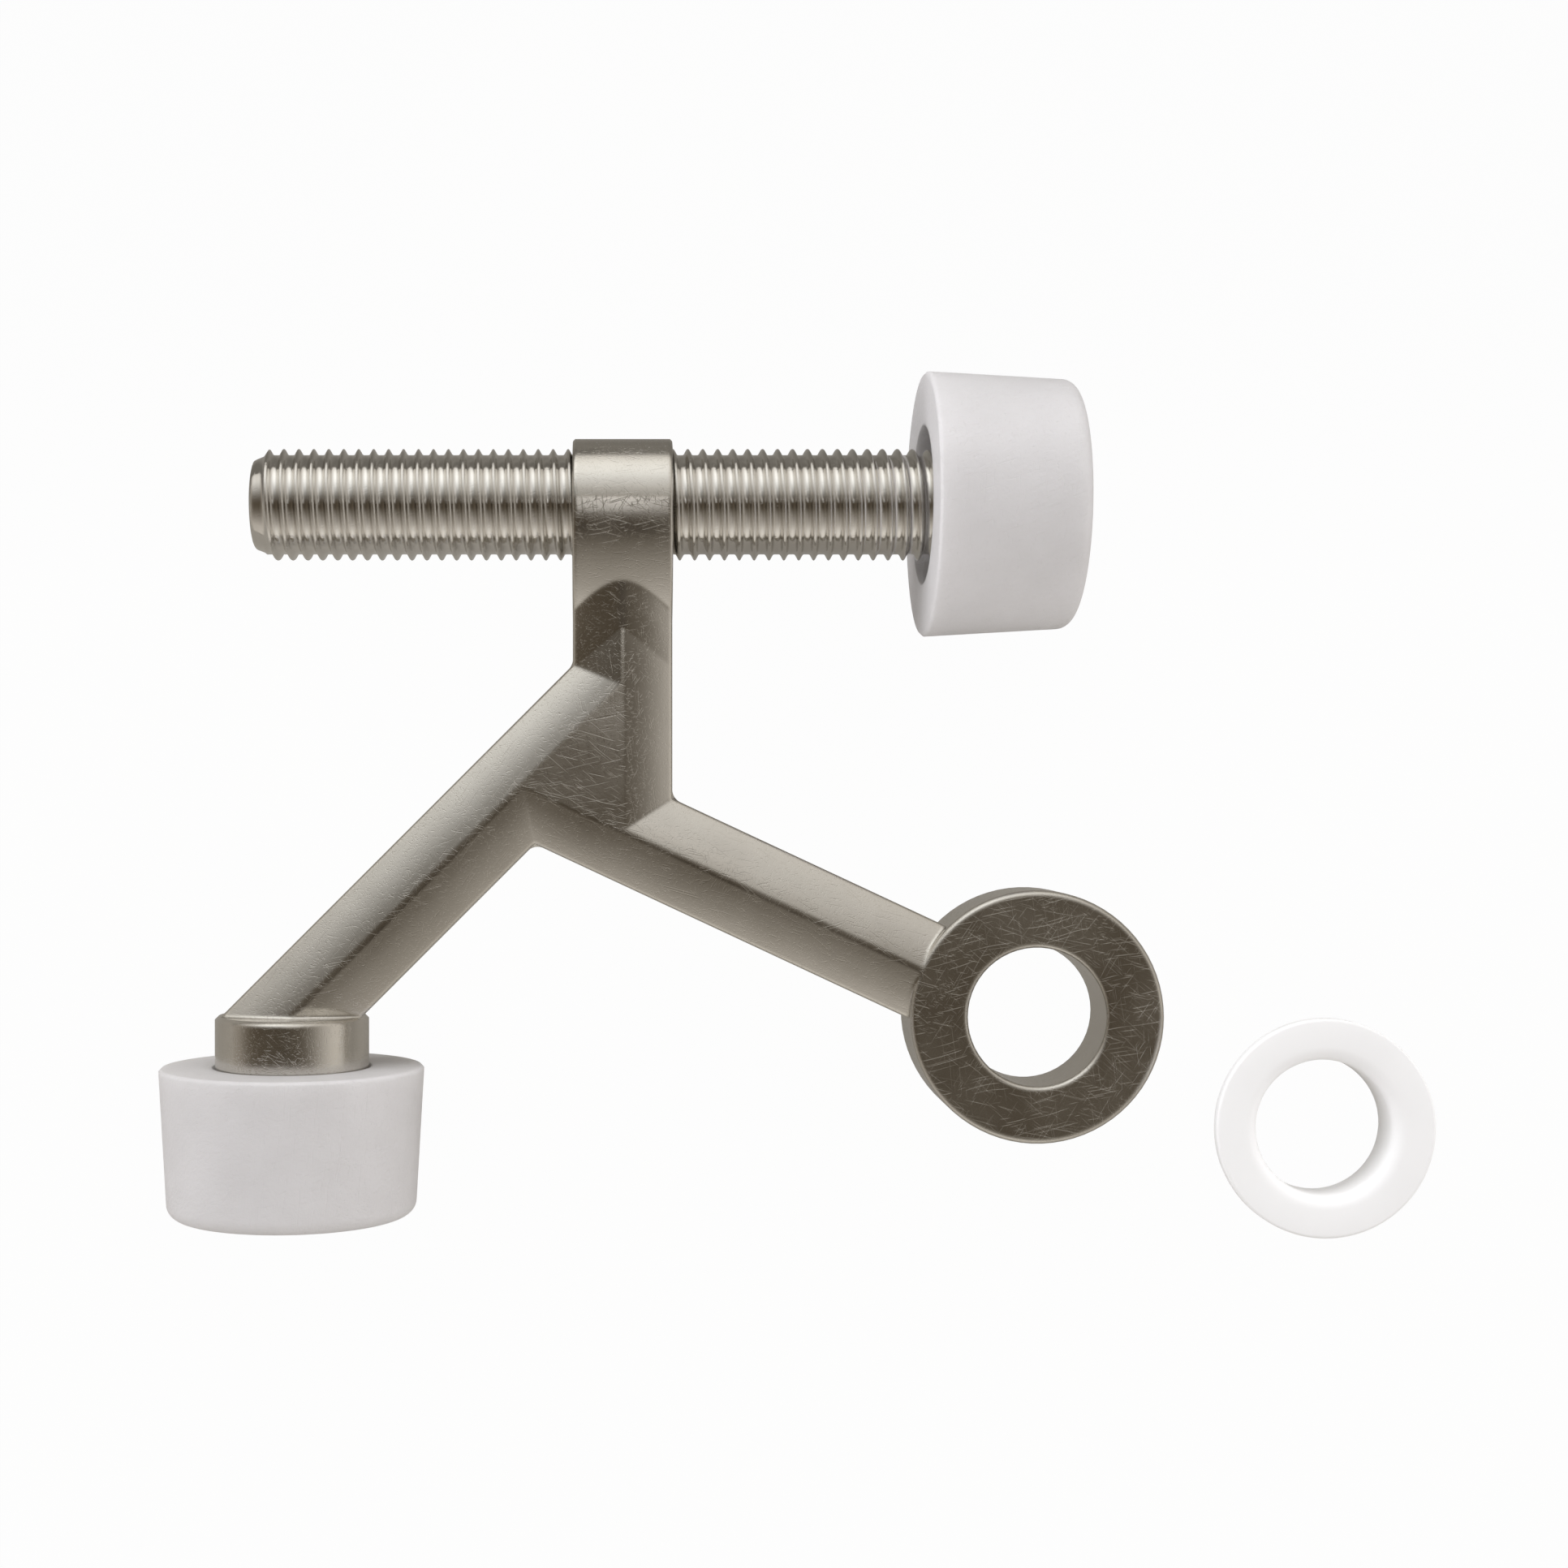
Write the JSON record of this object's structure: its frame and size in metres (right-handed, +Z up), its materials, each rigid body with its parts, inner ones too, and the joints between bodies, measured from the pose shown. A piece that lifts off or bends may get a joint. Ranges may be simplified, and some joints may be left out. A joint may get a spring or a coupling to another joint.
{
  "type": "hinge pin door stop",
  "caption": "Hinge pin door stop: a ridged Y-shaped casting with an eye for the hinge pin, a rubber foot and a threaded adjusting screw with a rubber tip.",
  "frame": {"origin": "centre of the eye's bore, half way through its thickness", "axes": "+Z up the hinge pin, +X along the screw towards its rubber tip, +Y from the eye towards the screw"},
  "size_m": [0.0874, 0.0597, 0.0186],
  "materials": {
    "satin_nickel": "satin nickel plate on zinc",
    "bright_nickel": "nickel plate on steel",
    "white_rubber": "matt",
    "white_plastic": "smooth"
  },
  "bodies": {
    "frame": {"frame_casting": "satin_nickel", "foot_bumper": "white_rubber", "eye_bushing": "white_plastic"},
    "tip": {"screw_bumper": "white_rubber"},
    "screw": {"adjusting_screw": "bright_nickel"}
  },
  "joints": [
    {"name": "tip_travel", "type": "slide", "parent": "frame", "child": "tip", "axis": [1, 0, 0], "range_m": [-0.01747, 0.02223]},
    {"name": "screw_turn", "type": "hinge", "parent": "tip", "child": "screw", "pos_m": [-0.02895, 0.0361, 0], "axis": [1, 0, 0], "range_deg": [-5940, 7560]}
  ],
  "couplings": [
    {"joint": "tip_travel", "follows": "screw_turn", "m_per_rad": 0.00016844}
  ]
}
